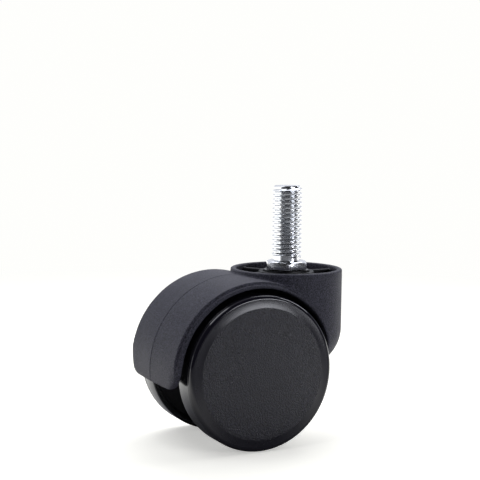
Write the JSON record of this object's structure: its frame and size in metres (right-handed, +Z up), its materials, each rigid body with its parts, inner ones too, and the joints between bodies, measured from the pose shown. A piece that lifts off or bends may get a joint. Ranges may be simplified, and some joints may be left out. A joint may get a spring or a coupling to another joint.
{
  "type": "chair caster wheel",
  "caption": "Twin-wheel hooded swivel caster with full-face wheel caps, round ribbed swivel socket and threaded stem with a hex collar.",
  "frame": {"origin": "on the swivel axis, at the top seat of the stem's hex collar, which bears on the underside of the chair's leg", "axes": "+Z up along the stem; the axle runs along Y; the wheels trail behind the swivel axis, at -X; right is -Y"},
  "size_m": [0.0674, 0.0426, 0.083],
  "materials": {
    "housing_nylon": "fine-grained moulded nylon, dark grey",
    "wheel_nylon": "glossy moulded nylon, black",
    "cap_nylon": "glossy rim and bevel, spark-textured face, black",
    "zinc_plated_steel": "bright zinc plating",
    "spring_steel": "plain dark spring steel",
    "bush_acetal": "natural acetal"
  },
  "bodies": {
    "stem": {"threaded_stem": "zinc_plated_steel", "stem_retaining_ring": "spring_steel"},
    "swivel_housing": {"housing": "housing_nylon", "swivel_bush": "bush_acetal", "thrust_washer": "spring_steel", "axle_pin": "zinc_plated_steel", "hub_washer_right": "spring_steel", "hub_washer_left": "spring_steel", "push_nut_right": "spring_steel", "push_nut_left": "spring_steel"},
    "right_wheel": {"wheel_right": "wheel_nylon", "wheel_cap_right": "cap_nylon"},
    "left_wheel": {"wheel_left": "wheel_nylon", "wheel_cap_left": "cap_nylon"}
  },
  "joints": [
    {"name": "swivel", "type": "hinge", "parent": "stem", "child": "swivel_housing", "pos_m": [0, 0, 0], "axis": [0, 0, 1], "continuous": true},
    {"name": "right_wheel_spin", "type": "hinge", "parent": "swivel_housing", "child": "right_wheel", "pos_m": [-0.019, 0, -0.033], "axis": [0, 1, 0], "continuous": true},
    {"name": "left_wheel_spin", "type": "hinge", "parent": "swivel_housing", "child": "left_wheel", "pos_m": [-0.019, 0, -0.033], "axis": [0, 1, 0], "continuous": true}
  ]
}
